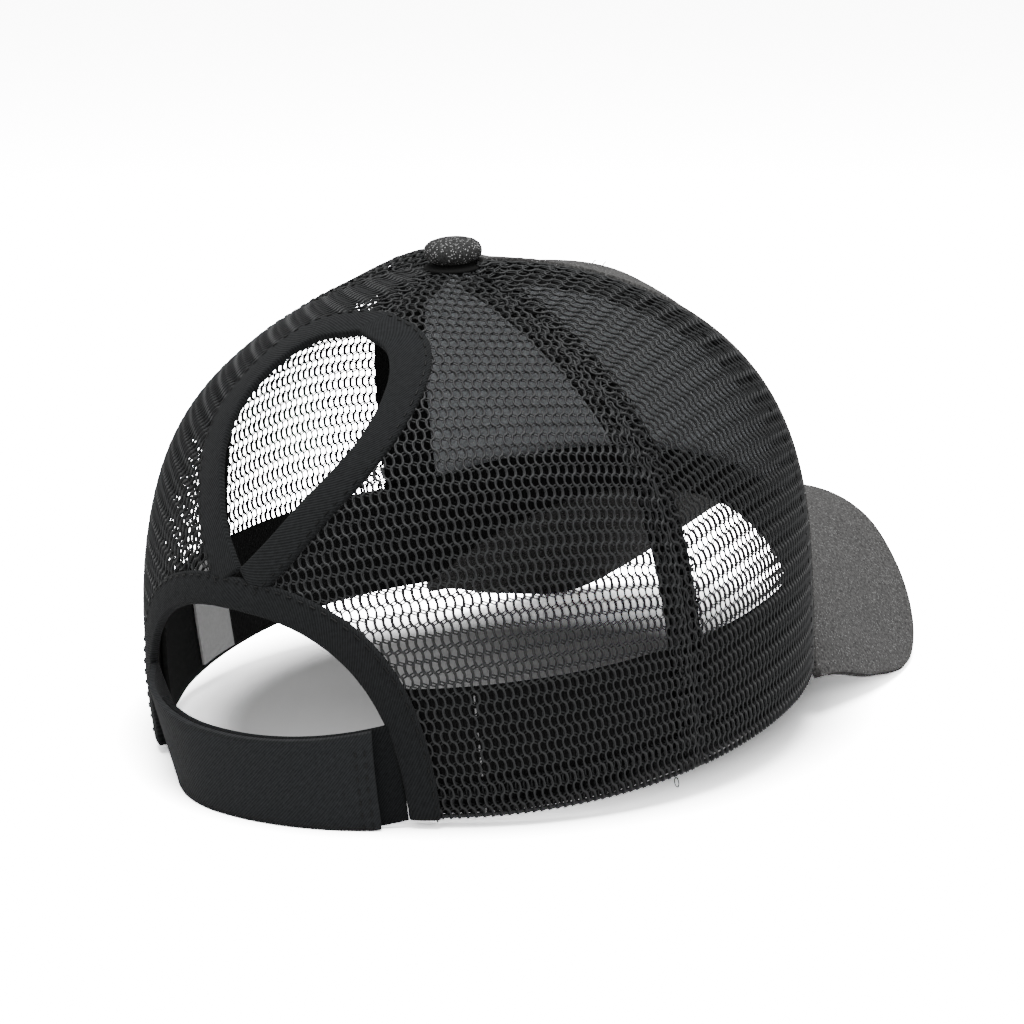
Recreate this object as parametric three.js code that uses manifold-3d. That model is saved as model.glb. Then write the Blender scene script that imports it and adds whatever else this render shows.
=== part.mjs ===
// A ponytail baseball cap: a grey cloth front, four net panels, two bound openings at the back,
// a two part strap, a sweatband, a curved visor and a covered button. Lengths are in millimetres
// and angles in degrees. The front faces -Y, the wearer's left is +X and Z is up.

import * as THREE from 'three';
import { mergeVertices } from 'three/addons/utils/BufferGeometryUtils.js';
import Module from 'manifold-3d';

const wasm = await Module();
wasm.setup();

// Crown. Its rim lies in the plane z = 0 until the finished cap is tipped onto its visor.
const crownHalfLength = 98.9;
const crownHalfWidth = 90.2;
const crownHeight = 123.2;
const crownTopSetback = 7.7;
const crownEggShare = -0.037;
const frontRimRise = 30.3;
const frontSeamTurn = 54;
const backSeamTurn = 104;
const topHoleRadius = 4.5;

// Where the crown leaves its smooth profiles. Each spread is how far a form reaches to either side.
const frontShoulder = { rise: 57, height: 3.5, spread: 14, widthShare: 0.8, liftShare: 0.5 };
const frontFlat = { rise: 58, depth: 10, spread: 60 };
const topSag = { rise: 65, depth: 4.3, spread: 35 };
const hemDroop = { turn: 130, depth: 2.2, spread: 55 };

// How each side of the crown is curved: the squareness of its profile and how far it swells out.
const crownProfiles = {
  front: { squareness: 2.6, swellShare: 0.103 },
  side: { squareness: 2.52, swellShare: 0.042 },
  back: { squareness: 2.13, swellShare: 0.026 },
};

// Cloth and net
const clothWall = 1.6;
const netWall = 1;
const tapeWall = 0.8;
const tapeWidth = 11.5;
const gap = 0.3;
const netStrandWidth = 3.4;
const smallestNetCell = 9.5;
const sideNetGrid = { columns: 5, rows: 10 };
const backNetGrid = { columns: 8, rows: 11 };

// Openings at the back, measured over the crown from its rim and from the centre back
const archHalfWidth = 48.4;
const archHeight = 50.4;
const archSquareness = 2.36;
const archBindingWidth = 8.6;
const teardropBottom = 61.1;
const teardropHeight = 73.8;
const teardropHalfWidth = 23.1;
const teardropBindingWidth = 9.8;
const bindingProud = 0.7;
const bindingWall = 2.3;

// Half of the teardrop, from its pointed bottom to its round top, as shares of its height and half width
const teardropSections = [
  { up: 0, out: 0 },
  { up: 0.12, out: 0.33 },
  { up: 0.26, out: 0.62 },
  { up: 0.4, out: 0.88 },
  { up: 0.53, out: 1 },
  { up: 0.68, out: 0.97 },
  { up: 0.82, out: 0.8 },
  { up: 0.93, out: 0.5 },
  { up: 1, out: 0 },
];

// Sweatband, strap and label
const sweatbandHeight = 33;
const sweatbandFrontRise = 10;
const sweatbandWall = 1.5;
const strapWidth = 25;
const strapWall = 1.6;
const strapDrop = 1.8;
const strapSag = 3.5;
const strapBow = 8;
const outerStrapReach = 42;
const underStrapReach = 25;
const labelWidth = 19;
const labelHeight = 30;
const labelWall = 1;
const labelTurn = 112;

// Visor
const visorReach = 60.5;
const visorHalfWidth = 75.5;
const visorSquareness = 2.54;
const visorWidestForward = 54.1;
const visorWall = 3;
const visorFrontHeight = 18;
const visorDroop = 37.5;

// Height of the visor's outer edge from its front to its side, as shares of its droop below the front
const visorEdgeSections = [
  { around: 0, below: 0 },
  { around: 0.167, below: 0.15 },
  { around: 0.333, below: 0.51 },
  { around: 0.5, below: 0.84 },
  { around: 0.667, below: 1 },
  { around: 0.867, below: 0.8 },
  { around: 1, below: 0.54 },
];

// Top button
const buttonRadius = 7.6;
const buttonHeight = 6.4;
const buttonEdge = 1.5;
const buttonNeck = { radius: 5.2, height: 1.2 };

// How finely each piece is divided
const frontGrid = { columns: 20, rows: 13 };
const tapeGrid = { columns: 2, rows: 12 };
const sweatbandGrid = { columns: 48, rows: 2 };
const labelGrid = { columns: 3, rows: 4 };
const visorGrid = { columns: 30, rows: 6 };
const outerStrapGrid = { columns: 22, rows: 2 };
const underStrapGrid = { columns: 18, rows: 2 };
const archSegments = 30;
const teardropSegments = 20;
const buttonSegments = 20;
const cutterRings = 4;

const DEG = Math.PI / 180;
const stepDegrees = 0.4;

// Crown surface

function directionShares(turn) {
  const ahead = Math.cos(turn * DEG);
  const front = Math.max(ahead, 0) ** 2;
  const back = Math.max(-ahead, 0) ** 2;
  return { front, back, side: 1 - front - back };
}

function blendProfiles(turn, key) {
  const shares = directionShares(turn);
  return Object.keys(shares).reduce((sum, side) => sum + shares[side] * crownProfiles[side][key], 0);
}

function rimRadius(turn) {
  const across = Math.sin(turn * DEG) / crownHalfWidth;
  const along = Math.cos(turn * DEG) / crownHalfLength;
  return (1 + crownEggShare * Math.cos(turn * DEG)) / Math.hypot(across, along);
}

function turnFromFront(turn) {
  return ((((turn + 180) % 360) + 360) % 360) - 180;
}

function bell(share) {
  return Math.max(1 - share * share, 0) ** 2;
}

// 1 at the centre of the front, falling to 0 at its seams and beyond
function frontShare(turn) {
  return Math.max(1 - (turnFromFront(turn) / frontSeamTurn) ** 2, 0);
}

function rimHeight(turn) {
  const droop = bell((Math.abs(turnFromFront(turn)) - hemDroop.turn) / hemDroop.spread);
  return frontRimRise * frontShare(turn) - hemDroop.depth * droop;
}

function shoulder(turn, rise) {
  const acrossFront = bell(turnFromFront(turn) / frontSeamTurn / frontShoulder.widthShare);
  return frontShoulder.height * acrossFront * bell((rise - frontShoulder.rise) / frontShoulder.spread);
}

function wallRadius(turn, rise) {
  const squareness = blendProfiles(turn, 'squareness');
  const swell = 1 + blendProfiles(turn, 'swellShare') * Math.sin(2 * rise * DEG);
  const flat = frontFlat.depth * frontShare(turn) * bell((rise - frontFlat.rise) / frontFlat.spread);
  const round = rimRadius(turn) * swell * Math.cos(rise * DEG) ** (2 / squareness);
  return round + shoulder(turn, rise) - flat;
}

function crownSurface(turn, rise) {
  const climb = Math.sin(rise * DEG) ** (2 / blendProfiles(turn, 'squareness'));
  const radius = wallRadius(turn, rise);
  const height = rimHeight(turn) + climb * (crownHeight - rimHeight(turn));
  const sag = topSag.depth * bell((rise - topSag.rise) / topSag.spread);
  const lift = frontShoulder.liftShare * shoulder(turn, rise) - sag;
  return new THREE.Vector3(
    radius * Math.sin(turn * DEG),
    climb * crownTopSetback - radius * Math.cos(turn * DEG),
    height + lift,
  );
}

function crownNormal(turn, rise) {
  const low = Math.max(rise - stepDegrees, 0);
  const high = Math.min(rise + stepDegrees, 90 - stepDegrees / 4);
  const up = crownSurface(turn, high).sub(crownSurface(turn, low));
  const across = crownSurface(turn + stepDegrees, rise).sub(crownSurface(turn - stepDegrees, rise));
  return across.cross(up).normalize();
}

// A point on the crown, a depth in from its outer surface
function crownPoint(turn, rise, depth) {
  return crownSurface(turn, rise).addScaledVector(crownNormal(turn, rise), -depth);
}

function riseAtHeight(turn, height) {
  const share = (height - rimHeight(turn)) / (crownHeight - rimHeight(turn));
  return Math.asin(Math.max(share, 0) ** (blendProfiles(turn, 'squareness') / 2)) / DEG;
}

// The back of the crown is laid out flat in millimetres: across from the centre back towards the
// wearer's right, and up over the crown from the rim.

const backMeridian = (() => {
  const rows = [{ rise: 0, up: 0 }];
  let last = crownSurface(180, 0);
  for (let rise = 0.5; rise <= 89.5; rise += 0.5) {
    const point = crownSurface(180, rise);
    rows.push({ rise, up: rows[rows.length - 1].up + point.distanceTo(last) });
    last = point;
  }
  return rows;
})();

function riseAtUp(up) {
  const next = Math.max(backMeridian.findIndex((row) => row.up >= up), 1);
  const high = backMeridian[next];
  const low = backMeridian[next - 1];
  return low.rise + ((high.rise - low.rise) * (up - low.up)) / (high.up - low.up);
}

function turnAtAcross(across, rise) {
  return 180 + across / wallRadius(180, rise) / DEG;
}

function backPoint(across, up, depth) {
  const rise = riseAtUp(up);
  return crownPoint(turnAtAcross(across, rise), rise, depth);
}

const crownLength = backMeridian[backMeridian.length - 1].up;

// Flat patches: points as pairs of numbers, and triangles that turn anticlockwise

function signedArea(points, triangle) {
  const [a, b, c] = triangle.map((index) => points[index]);
  return (b[0] - a[0]) * (c[1] - a[1]) - (c[0] - a[0]) * (b[1] - a[1]);
}

function windowInCell(corners, widths) {
  const middle = (corner, edge) => (corners[corner][edge] + corners[(corner + 2) % 4][edge]) / 2;
  const centre = [middle(0, 0), middle(0, 1)];
  const reach = [0, 1].map((edge) => (corners[2][edge] - corners[0][edge]) / 2);
  const open = [0, 1].map((edge) => reach[edge] * (1 - netStrandWidth / widths[edge]));
  const hexagon = [[1, 0], [0.5, 1], [-0.5, 1], [-1, 0], [-0.5, -1], [0.5, -1]];
  return hexagon.map(([x, y]) => [centre[0] + x * open[0], centre[1] + y * open[1]]);
}

// The triangles of one cell. The corners of its window, if it has one, are added to the points.
function cellTriangles(points, corners, cellWidths) {
  const outline = corners.map((index) => points[index]);
  const widths = cellWidths(outline);
  const window = widths ? windowInCell(outline, widths) : [];
  const indexes = [...corners, ...window.map((_, place) => points.length + place)];
  points.push(...window);
  const toVectors = (list) => list.map(([x, y]) => new THREE.Vector2(x, y));
  const holes = widths ? [toVectors(window)] : [];
  return THREE.ShapeUtils.triangulateShape(toVectors(outline), holes).map((face) => {
    const triangle = face.map((place) => indexes[place]);
    return signedArea(points, triangle) > 0 ? triangle : triangle.reverse();
  });
}

// A grid from 0 to 1 both ways. A cell for which cellWidths gives two lengths gets a window.
function gridPatch({ columns, rows }, cellWidths = () => null) {
  const points = [];
  for (let row = 0; row <= rows; row++) {
    for (let column = 0; column <= columns; column++) points.push([column / columns, row / rows]);
  }
  const triangles = [];
  for (let row = 0; row < rows; row++) {
    for (let column = 0; column < columns; column++) {
      const first = row * (columns + 1) + column;
      const corners = [first, first + 1, first + columns + 2, first + columns + 1];
      triangles.push(...cellTriangles(points, corners, cellWidths));
    }
  }
  return { points, triangles };
}

// A disc of rings that shrink from a closed outline to its middle
function discPatch(outline, rings) {
  const count = outline.length;
  const middle = [0, 1].map((axis) => outline.reduce((sum, point) => sum + point[axis] / count, 0));
  const points = [middle];
  const triangles = [];
  for (let ring = 1; ring <= rings; ring++) {
    const share = ring / rings;
    const towards = (value, end) => value + share * (end - value);
    points.push(...outline.map((point) => middle.map((value, axis) => towards(value, point[axis]))));
  }
  for (let place = 0; place < count; place++) {
    const next = (place + 1) % count;
    triangles.push([0, 1 + place, 1 + next]);
    for (let ring = 0; ring < rings - 1; ring++) {
      const inner = 1 + ring * count;
      const outer = inner + count;
      triangles.push([inner + place, outer + place, outer + next]);
      triangles.push([inner + place, outer + next, inner + next]);
    }
  }
  return { points, triangles };
}

// A closed band between two outlines with the same number of points
function bandPatch(inner, outer) {
  const count = inner.length;
  const triangles = [];
  for (let place = 0; place < count; place++) {
    const next = (place + 1) % count;
    triangles.push([place, count + place, count + next], [place, count + next, next]);
  }
  return { points: [...inner, ...outer], triangles };
}

// Solids

function boundaryEdges(triangles) {
  const edges = new Map();
  for (const [a, b, c] of triangles) {
    for (const [start, end] of [[a, b], [b, c], [c, a]]) edges.set(`${start},${end}`, [start, end]);
  }
  return [...edges.values()].filter(([start, end]) => !edges.has(`${end},${start}`));
}

function volumeOf(vertices, triangles) {
  const share = ([a, b, c]) => vertices[a].dot(vertices[b].clone().cross(vertices[c])) / 6;
  return triangles.reduce((sum, triangle) => sum + share(triangle), 0);
}

function geometryFrom(vertices, triangles) {
  const isOutward = volumeOf(vertices, triangles) > 0;
  const outward = isOutward ? triangles : triangles.map(([a, b, c]) => [a, c, b]);
  const numbers = vertices.flatMap((vertex) => vertex.toArray());
  const geometry = new THREE.BufferGeometry();
  geometry.setAttribute('position', new THREE.Float32BufferAttribute(numbers, 3));
  geometry.setIndex(outward.flat());
  return geometry;
}

// Thickens a flat patch: place(x, y, side) gives the point on the outside for side 0, inside for side 1.
function sheetGeometry(patch, place) {
  const count = patch.points.length;
  const outside = patch.points.map(([x, y]) => place(x, y, 0));
  const inside = patch.points.map(([x, y]) => place(x, y, 1));
  const back = patch.triangles.map(([a, b, c]) => [a + count, c + count, b + count]);
  const edgeFaces = ([a, b]) => [[a, a + count, b + count], [a, b + count, b]];
  const edges = boundaryEdges(patch.triangles).flatMap(edgeFaces);
  return geometryFrom([...outside, ...inside], [...patch.triangles, ...back, ...edges]);
}

function toSolid(geometry) {
  const plain = new THREE.BufferGeometry();
  plain.setAttribute('position', geometry.getAttribute('position'));
  plain.setIndex(geometry.getIndex());
  const merged = mergeVertices(plain, 1e-4);
  const vertProperties = new Float32Array(merged.getAttribute('position').array);
  const triVerts = new Uint32Array(merged.getIndex().array);
  return new wasm.Manifold(new wasm.Mesh({ numProp: 3, vertProperties, triVerts }));
}

function fromSolid(solid) {
  const mesh = solid.getMesh();
  const geometry = new THREE.BufferGeometry();
  geometry.setAttribute('position', new THREE.BufferAttribute(mesh.vertProperties, 3));
  geometry.setIndex(new THREE.BufferAttribute(mesh.triVerts, 1));
  return geometry;
}

function cutAway(geometry, ...cutters) {
  return fromSolid(cutters.reduce((solid, cutter) => solid.subtract(toSolid(cutter)), toSolid(geometry)));
}

// Outlines of the two openings, on the flat layout of the back

function archOutline(margin, segments) {
  return Array.from({ length: segments + 1 }, (_, step) => {
    const swing = (Math.PI * step) / segments;
    const across = Math.abs(Math.cos(swing)) ** (2 / archSquareness) * Math.sign(Math.cos(swing));
    const up = Math.sin(swing) ** (2 / archSquareness);
    return [across * (archHalfWidth + margin), Math.max(up, 0) * (archHeight + margin)];
  });
}

function teardropOutline(margin, segments) {
  const half = new THREE.SplineCurve(teardropSections.map(({ up, out }) => {
    return new THREE.Vector2(out * teardropHalfWidth, teardropBottom + up * teardropHeight);
  }));
  const right = Array.from({ length: segments + 1 }, (_, step) => {
    const point = half.getPoint(step / segments);
    const along = half.getTangent(step / segments);
    return [point.x + along.y * margin, point.y - along.x * margin];
  });
  const last = right[segments];
  const top = [0, last[1]];
  const left = right.slice(0, segments).reverse().map(([across, up]) => [-across, up]);
  return [...right.slice(0, segments), top, ...left];
}

const cutDepth = 7;

// Below the rim, the cutter of an opening goes straight down.
function openingCutter(outline) {
  return sheetGeometry(discPatch(outline, cutterRings), (across, up, side) => {
    const point = backPoint(across, Math.max(up, 0), side ? cutDepth : -cutDepth);
    return point.setZ(point.z + Math.min(up, 0));
  });
}

function archCutter(margin) {
  const half = archHalfWidth + margin;
  const below = Array.from({ length: archSegments / 2 + 1 }, (_, step) => {
    return [half * ((4 * step) / archSegments - 1), -cutDepth];
  });
  return openingCutter([...archOutline(margin, archSegments), ...below]);
}

// Panels of the crown

function panelPlace(fromTurn, toTurn, wall) {
  return (x, y, side) => {
    const rise = riseAtUp(y * (crownLength - topHoleRadius));
    const margin = gap / 2 / wallRadius((fromTurn + toTurn) / 2, rise) / DEG;
    const turn = fromTurn + margin + x * (toTurn - fromTurn - 2 * margin);
    return crownPoint(turn, rise, side * wall);
  };
}

function frontPanel() {
  return sheetGeometry(gridPatch(frontGrid), panelPlace(-frontSeamTurn, frontSeamTurn, clothWall));
}

// Cell widths of a net panel, or null where the net stays whole beside a seam, an opening or the top
function netCells(place, isClear) {
  return (corners) => {
    const points = corners.map(([x, y]) => place(x, y, 0));
    const widths = [points[0].distanceTo(points[1]), points[1].distanceTo(points[2])];
    const narrow = Math.min(points[3].distanceTo(points[2]), ...widths) < smallestNetCell;
    return narrow || !isClear(corners) ? null : widths;
  };
}

function sideMesh(fromTurn, toTurn) {
  const place = panelPlace(fromTurn, toTurn, netWall);
  return sheetGeometry(gridPatch(sideNetGrid, netCells(place, () => true)), place);
}

function isClearOfOpenings(fromTurn, toTurn) {
  return (corners) => corners.every(([x, y]) => {
    const up = y * (crownLength - topHoleRadius);
    const turn = fromTurn + x * (toTurn - fromTurn);
    const across = Math.abs(turn - 180) * DEG * wallRadius(180, riseAtUp(up));
    const teardropReach = teardropHalfWidth + teardropBindingWidth + netStrandWidth;
    const archReach = archHalfWidth + archBindingWidth + netStrandWidth;
    const isLevelWithTeardrop = up >= teardropBottom && up <= teardropBottom + teardropHeight;
    const besideTeardrop = !isLevelWithTeardrop || across > teardropReach;
    const besideArch = up > archHeight + archBindingWidth + netStrandWidth || across > archReach;
    return besideTeardrop && besideArch;
  });
}

function backMesh(fromTurn, toTurn) {
  const place = panelPlace(fromTurn, toTurn, netWall);
  const patch = gridPatch(backNetGrid, netCells(place, isClearOfOpenings(fromTurn, toTurn)));
  const teardrop = openingCutter(teardropOutline(teardropBindingWidth + gap, teardropSegments));
  return cutAway(sheetGeometry(patch, place), archCutter(archBindingWidth + gap), teardrop);
}

// Tapes, bindings, sweatband, strap and label

const narrowestSpan = Math.min(backSeamTurn - frontSeamTurn, 180 - backSeamTurn);
const tapeDepth = clothWall + 2 * gap;

function seamTape(turn, fromUp) {
  const toUp = crownLength - topHoleRadius;
  return sheetGeometry(gridPatch(tapeGrid), (x, y, side) => {
    const rise = riseAtUp(fromUp + y * (toUp - fromUp));
    const radius = wallRadius(turn, rise);
    const room = (radius * narrowestSpan * DEG) / 2 - gap;
    const half = Math.min(tapeWidth / 2, room);
    return crownPoint(turn + ((2 * x - 1) * half) / radius / DEG, rise, tapeDepth + side * tapeWall);
  });
}

function archBinding() {
  const inner = archOutline(0, archSegments);
  const outer = archOutline(archBindingWidth, archSegments);
  return sheetGeometry(gridPatch({ columns: archSegments, rows: 1 }), (x, y, side) => {
    const step = Math.round(x * archSegments);
    const [across, up] = y > 0.5 ? inner[step] : outer[step];
    return backPoint(across, up, side * bindingWall - bindingProud);
  });
}

function teardropBinding() {
  const inner = teardropOutline(0, teardropSegments);
  const outer = teardropOutline(teardropBindingWidth, teardropSegments);
  const place = (across, up, side) => backPoint(across, up, side * bindingWall - bindingProud);
  return cutAway(sheetGeometry(bandPatch(inner, outer), place), archCutter(archBindingWidth + gap));
}

const sweatbandDepth = tapeDepth + tapeWall + gap;
const archFootTurn = (archHalfWidth + 1) / wallRadius(180, 0) / DEG;

function sweatbandTop(turn) {
  return sweatbandHeight + sweatbandFrontRise * frontShare(turn);
}

function sweatband() {
  const reach = 180 - archFootTurn;
  return sheetGeometry(gridPatch(sweatbandGrid), (x, y, side) => {
    const turn = (2 * x - 1) * reach;
    const height = rimHeight(turn) + y * (sweatbandTop(turn) - rimHeight(turn));
    return crownPoint(turn, riseAtHeight(turn, height), sweatbandDepth + side * sweatbandWall);
  });
}

function careLabel() {
  return sheetGeometry(gridPatch(labelGrid), (x, y, side) => {
    const turn = labelTurn + ((x - 0.5) * labelWidth) / rimRadius(labelTurn) / DEG;
    const rise = riseAtHeight(turn, gap + y * labelHeight);
    return crownPoint(turn, rise, sweatbandDepth + sweatbandWall + gap + side * labelWall);
  });
}

// Visor. Its upper face runs from the rim of the front to an outer edge with heights of its own.

function visorEdgeHeight(side) {
  const mirrored = visorEdgeSections.slice(1).reverse().map(({ around, below }) => [-around, below]);
  const rows = [...mirrored, ...visorEdgeSections.map(({ around, below }) => [around, below])];
  const curve = new THREE.SplineCurve(rows.map(([around, below]) => new THREE.Vector2(around, below)));
  const next = Math.max(rows.findIndex(([around]) => around >= side), 1);
  const within = (side - rows[next - 1][0]) / (rows[next][0] - rows[next - 1][0]);
  return visorFrontHeight - visorDroop * curve.getPoint((next - 1 + within) / (rows.length - 1)).y;
}

function visorEdge(side) {
  const swing = side * 90 * DEG;
  const out = Math.abs(Math.sin(swing)) ** (2 / visorSquareness) * Math.sign(side);
  const ahead = Math.max(Math.cos(swing), 0) ** (2 / visorSquareness);
  const reach = rimRadius(0) + visorReach - visorWidestForward;
  const y = -visorWidestForward - ahead * reach;
  return new THREE.Vector3(out * visorHalfWidth, y, visorEdgeHeight(side));
}

function visorRoot(side) {
  const turn = side * frontSeamTurn;
  const root = crownPoint(turn, riseAtHeight(turn, rimHeight(turn) + visorWall), -gap);
  return root.setZ(rimHeight(turn) + visorWall);
}

function visorTop(side, out) {
  return visorRoot(side).lerp(visorEdge(side), out);
}

const visorStep = 0.01;

function visorNormal(side, out) {
  const half = visorStep / 2;
  const across = visorTop(side + half, out).sub(visorTop(side - half, out));
  const ahead = visorEdge(side).sub(visorRoot(side));
  const normal = ahead.cross(across).normalize();
  return normal.z > 0 ? normal : normal.negate();
}

// The visor is cut upright where it meets the crown and square to its face at its outer edge.
function visorPoint(side, out, depth) {
  const lastSide = 1 - visorStep / 2;
  const inSide = Math.max(Math.min(side, lastSide), -lastSide);
  const upright = new THREE.Vector3(0, 0, 1);
  const through = upright.lerp(visorNormal(inSide, out), out).normalize();
  return visorTop(side, out).addScaledVector(through, -depth);
}

function visor() {
  const place = (x, y, under) => visorPoint(2 * x - 1, 1 - y, under * visorWall);
  return sheetGeometry(gridPatch(visorGrid), place);
}

// The cap stands on the centre of its strap and on the lowest stretch of its visor.

const strapBack = rimRadius(180) + strapBow;

function restTilt() {
  const steepness = Array.from({ length: visorGrid.columns + 1 }, (_, column) => {
    const low = visorPoint((2 * column) / visorGrid.columns - 1, 1, visorWall);
    return (-strapDrop - low.z) / (strapBack - low.y);
  });
  return Math.atan(Math.max(...steepness));
}

const tilt = restTilt();

function floorHeight(y) {
  return -strapDrop - (strapBack - y) * Math.tan(tilt);
}

// Half of the strap's free length at a height: it ends a gap short of the inner edge of the arch.
function strapReach(height) {
  const share = Math.max(height, 0) / archHeight;
  return archHalfWidth * (1 - share ** archSquareness) ** (1 / archSquareness) - gap;
}

// Each half of the strap runs between two distances from the centre back, capped by the arch.
function strapPlace(fromAcross, toAcross, outward) {
  return (x, y, side) => {
    const reach = strapReach(y * strapWidth);
    const from = Math.max(fromAcross, -reach);
    const across = from + x * (Math.min(toAcross, reach) - from);
    const bow = 1 - (across / archHalfWidth) ** 2;
    const height = y * strapWidth - strapSag * bow;
    const rise = riseAtUp(Math.max(height, 0));
    const depth = side * strapWall - outward - strapBow * bow;
    const point = crownPoint(turnAtAcross(across, rise), rise, depth);
    point.z += Math.min(height, 0);
    return y > 0 ? point : point.setZ(Math.max(point.z, floorHeight(point.y)));
  };
}

function topButton() {
  const profile = [
    [0, 0],
    [buttonNeck.radius, 0],
    [buttonNeck.radius, buttonNeck.height],
    [buttonRadius - buttonEdge / 2, buttonNeck.height],
    [buttonRadius, buttonNeck.height + buttonEdge],
    [buttonRadius, buttonHeight - 2 * buttonEdge],
    [buttonRadius - buttonEdge, buttonHeight - buttonEdge / 2],
    [buttonRadius / 2, buttonHeight],
    [0, buttonHeight],
  ];
  const corners = profile.map(([out, up]) => new THREE.Vector2(out, up));
  const geometry = new THREE.LatheGeometry(corners, buttonSegments);
  geometry.rotateX(90 * DEG);
  geometry.translate(0, crownTopSetback, crownSurface(0, 90).z + gap);
  return fromSolid(toSolid(geometry));
}

// Materials and the finished cap

const greyCloth = { color: '#6c6c70', roughness: 0.9 };
const buttonCloth = { color: '#545456', roughness: 0.85 };
const blackNet = { color: '#1c1c1e', roughness: 0.7 };
const blackTwill = { color: '#262a2a', roughness: 0.9 };
const blackBand = { color: '#1d1d1f', roughness: 0.95 };
const strapTwill = { color: '#2b2d2e', roughness: 0.9 };
const paleLabel = { color: '#a4a3a0', roughness: 0.8 };

const teardropTop = teardropBottom + teardropHeight + teardropBindingWidth;
const outerStrap = strapPlace(-archHalfWidth, outerStrapReach, gap + strapWall);
const underStrap = strapPlace(-underStrapReach, archHalfWidth, 0);

const cap = new THREE.Group();

function add(name, geometry, { color, roughness }) {
  const material = new THREE.MeshStandardMaterial({ color, roughness, metalness: 0 });
  const mesh = new THREE.Mesh(geometry, material);
  mesh.name = name;
  cap.add(mesh);
}

add('front_panel', frontPanel(), greyCloth);
add('side_mesh_left', sideMesh(frontSeamTurn, backSeamTurn), blackNet);
add('side_mesh_right', sideMesh(-backSeamTurn, -frontSeamTurn), blackNet);
add('back_mesh_left', backMesh(backSeamTurn, 180), blackNet);
add('back_mesh_right', backMesh(180, 360 - backSeamTurn), blackNet);
add('seam_tape_front_left', seamTape(frontSeamTurn, gap), blackBand);
add('seam_tape_front_right', seamTape(-frontSeamTurn, gap), blackBand);
add('seam_tape_back_left', seamTape(backSeamTurn, gap), blackBand);
add('seam_tape_back_right', seamTape(-backSeamTurn, gap), blackBand);
add('seam_tape_centre_back', seamTape(180, teardropTop + gap), blackBand);
add('teardrop_binding', teardropBinding(), blackTwill);
add('arch_binding', archBinding(), blackTwill);
add('strap_left', sheetGeometry(gridPatch(outerStrapGrid), outerStrap), strapTwill);
add('strap_right', sheetGeometry(gridPatch(underStrapGrid), underStrap), strapTwill);
add('sweatband', sweatband(), blackBand);
add('care_label', careLabel(), paleLabel);
add('visor', visor(), greyCloth);
add('top_button', topButton(), buttonCloth);

cap.rotation.x = -tilt;
const ponytailCap = new THREE.Group();
ponytailCap.add(cap);
const box = new THREE.Box3().setFromObject(ponytailCap, true);
cap.position.set(-(box.min.x + box.max.x) / 2, -(box.min.y + box.max.y) / 2, -box.min.z);

export default ponytailCap;
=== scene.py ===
import math
from bisect import bisect_left

import bmesh
import bpy
from mathutils import Matrix, Vector, noise


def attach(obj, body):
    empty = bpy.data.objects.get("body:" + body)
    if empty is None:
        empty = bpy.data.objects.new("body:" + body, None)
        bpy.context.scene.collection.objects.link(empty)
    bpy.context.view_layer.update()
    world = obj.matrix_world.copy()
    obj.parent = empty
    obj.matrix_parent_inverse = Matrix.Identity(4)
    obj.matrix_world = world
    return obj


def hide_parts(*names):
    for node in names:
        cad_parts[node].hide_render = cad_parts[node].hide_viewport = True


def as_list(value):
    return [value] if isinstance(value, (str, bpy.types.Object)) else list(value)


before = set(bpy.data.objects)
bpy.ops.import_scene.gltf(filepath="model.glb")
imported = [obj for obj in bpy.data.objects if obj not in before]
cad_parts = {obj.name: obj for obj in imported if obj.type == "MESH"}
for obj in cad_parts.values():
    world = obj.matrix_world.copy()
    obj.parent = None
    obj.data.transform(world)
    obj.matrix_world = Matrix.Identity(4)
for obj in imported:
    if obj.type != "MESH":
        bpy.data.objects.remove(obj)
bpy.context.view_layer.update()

# Studio
# A wide white floor in an even white surround, with one soft panel overhead and one to the side. The
# floor carries a painted shade, darker under and near the cap. The long lens looks down on the cap from
# behind its wearer's right shoulder, as the photograph does.

view_turn = math.radians(219.82)
view_drop = math.radians(13.774)
view_distance = 0.8029
view_target = Vector((0.00617, 0.0053, 0.0553))
lens_length = 97.75
sensor_width = 36
clip_distances = (0.05, 50)
floor_size = 16
surround_strength = 0.62
surround_seen = 30.0
floor_white = 0.8
# The floor's tone for the camera near the cap, with the oval and fade below, is a painted shade on the
# floor.
floor_seen_in_painted_shade = 0.52
floor_seen_far = 16.0
painted_shade_reach = (0.093, 0.11)
painted_shade_middle = (0.0, 0.013)
painted_shade_from = 0.75
painted_shade_to = 1.3

away = Vector((
    math.sin(view_turn) * math.cos(view_drop),
    -math.cos(view_turn) * math.cos(view_drop),
    math.sin(view_drop),
))
camera = bpy.data.objects.new("camera", bpy.data.cameras.new("camera"))
camera.data.lens = lens_length
camera.data.sensor_width = sensor_width
camera.data.clip_start, camera.data.clip_end = clip_distances
camera.location = view_target + away * view_distance
camera.rotation_euler = (-away).to_track_quat("-Z", "Y").to_euler()
bpy.context.collection.objects.link(camera)
bpy.context.scene.camera = camera


def brighter_when_seen(tree, socket, plain, seen):
    """Gives a colour socket one grey for the camera's own rays and another for all other light."""
    rays = tree.nodes.new("ShaderNodeLightPath")
    mix = tree.nodes.new("ShaderNodeMix")
    mix.data_type = "RGBA"
    mix.inputs[6].default_value = (plain, plain, plain, 1)
    mix.inputs[7].default_value = (seen, seen, seen, 1)
    tree.links.new(rays.outputs["Is Camera Ray"], mix.inputs[0])
    tree.links.new(mix.outputs[2], socket)
    return mix


world = bpy.data.worlds.new("surround")
world.use_nodes = True
surround = world.node_tree.nodes["Background"]
brighter_when_seen(world.node_tree, surround.inputs["Color"], surround_strength, surround_seen)
bpy.context.scene.world = world


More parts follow.
